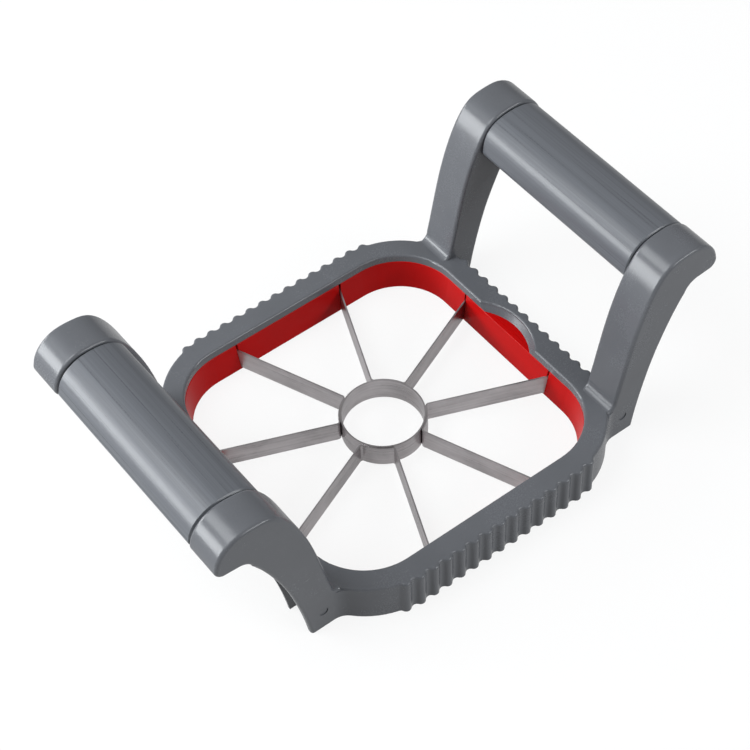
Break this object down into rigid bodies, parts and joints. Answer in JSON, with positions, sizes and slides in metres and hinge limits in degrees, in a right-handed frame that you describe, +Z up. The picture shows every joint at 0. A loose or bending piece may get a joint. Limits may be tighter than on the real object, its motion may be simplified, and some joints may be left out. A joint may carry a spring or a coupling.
{
  "type": "apple slicer wedger press",
  "caption": "Hand press with a moulded grey ring frame and two raised grips, holding a red blade cartridge with radial steel blades round a core ring.",
  "frame": {"origin": "on the table under the middle of the core ring, which is the bottom centre of the whole", "axes": "+X from the left handle to the right handle, +Y across the press away from the picture's viewer, +Z up"},
  "size_m": [0.1786, 0.1146, 0.066],
  "materials": {
    "grey_plastic": "satin",
    "red_plastic": "satin",
    "steel": "brushed",
    "screw_steel": "satin"
  },
  "bodies": {
    "frame": {"frame_body": "grey_plastic", "right_grip_shell": "grey_plastic", "left_grip_shell": "grey_plastic", "right_grip_cover": "grey_plastic", "left_grip_cover": "grey_plastic", "right_grip_screws": "screw_steel", "left_grip_screws": "screw_steel"},
    "cartridge": {"blade_holder": "red_plastic", "blade_retainer": "red_plastic", "core_ring": "steel", "blade_far_right": "steel", "blade_far_left": "steel", "blade_near_left": "steel", "blade_near_right": "steel"}
  },
  "joints": [
    {"name": "cartridge_release", "type": "slide", "parent": "frame", "child": "cartridge", "axis": [0, 0, -1], "range_m": [0, 0.02]}
  ]
}
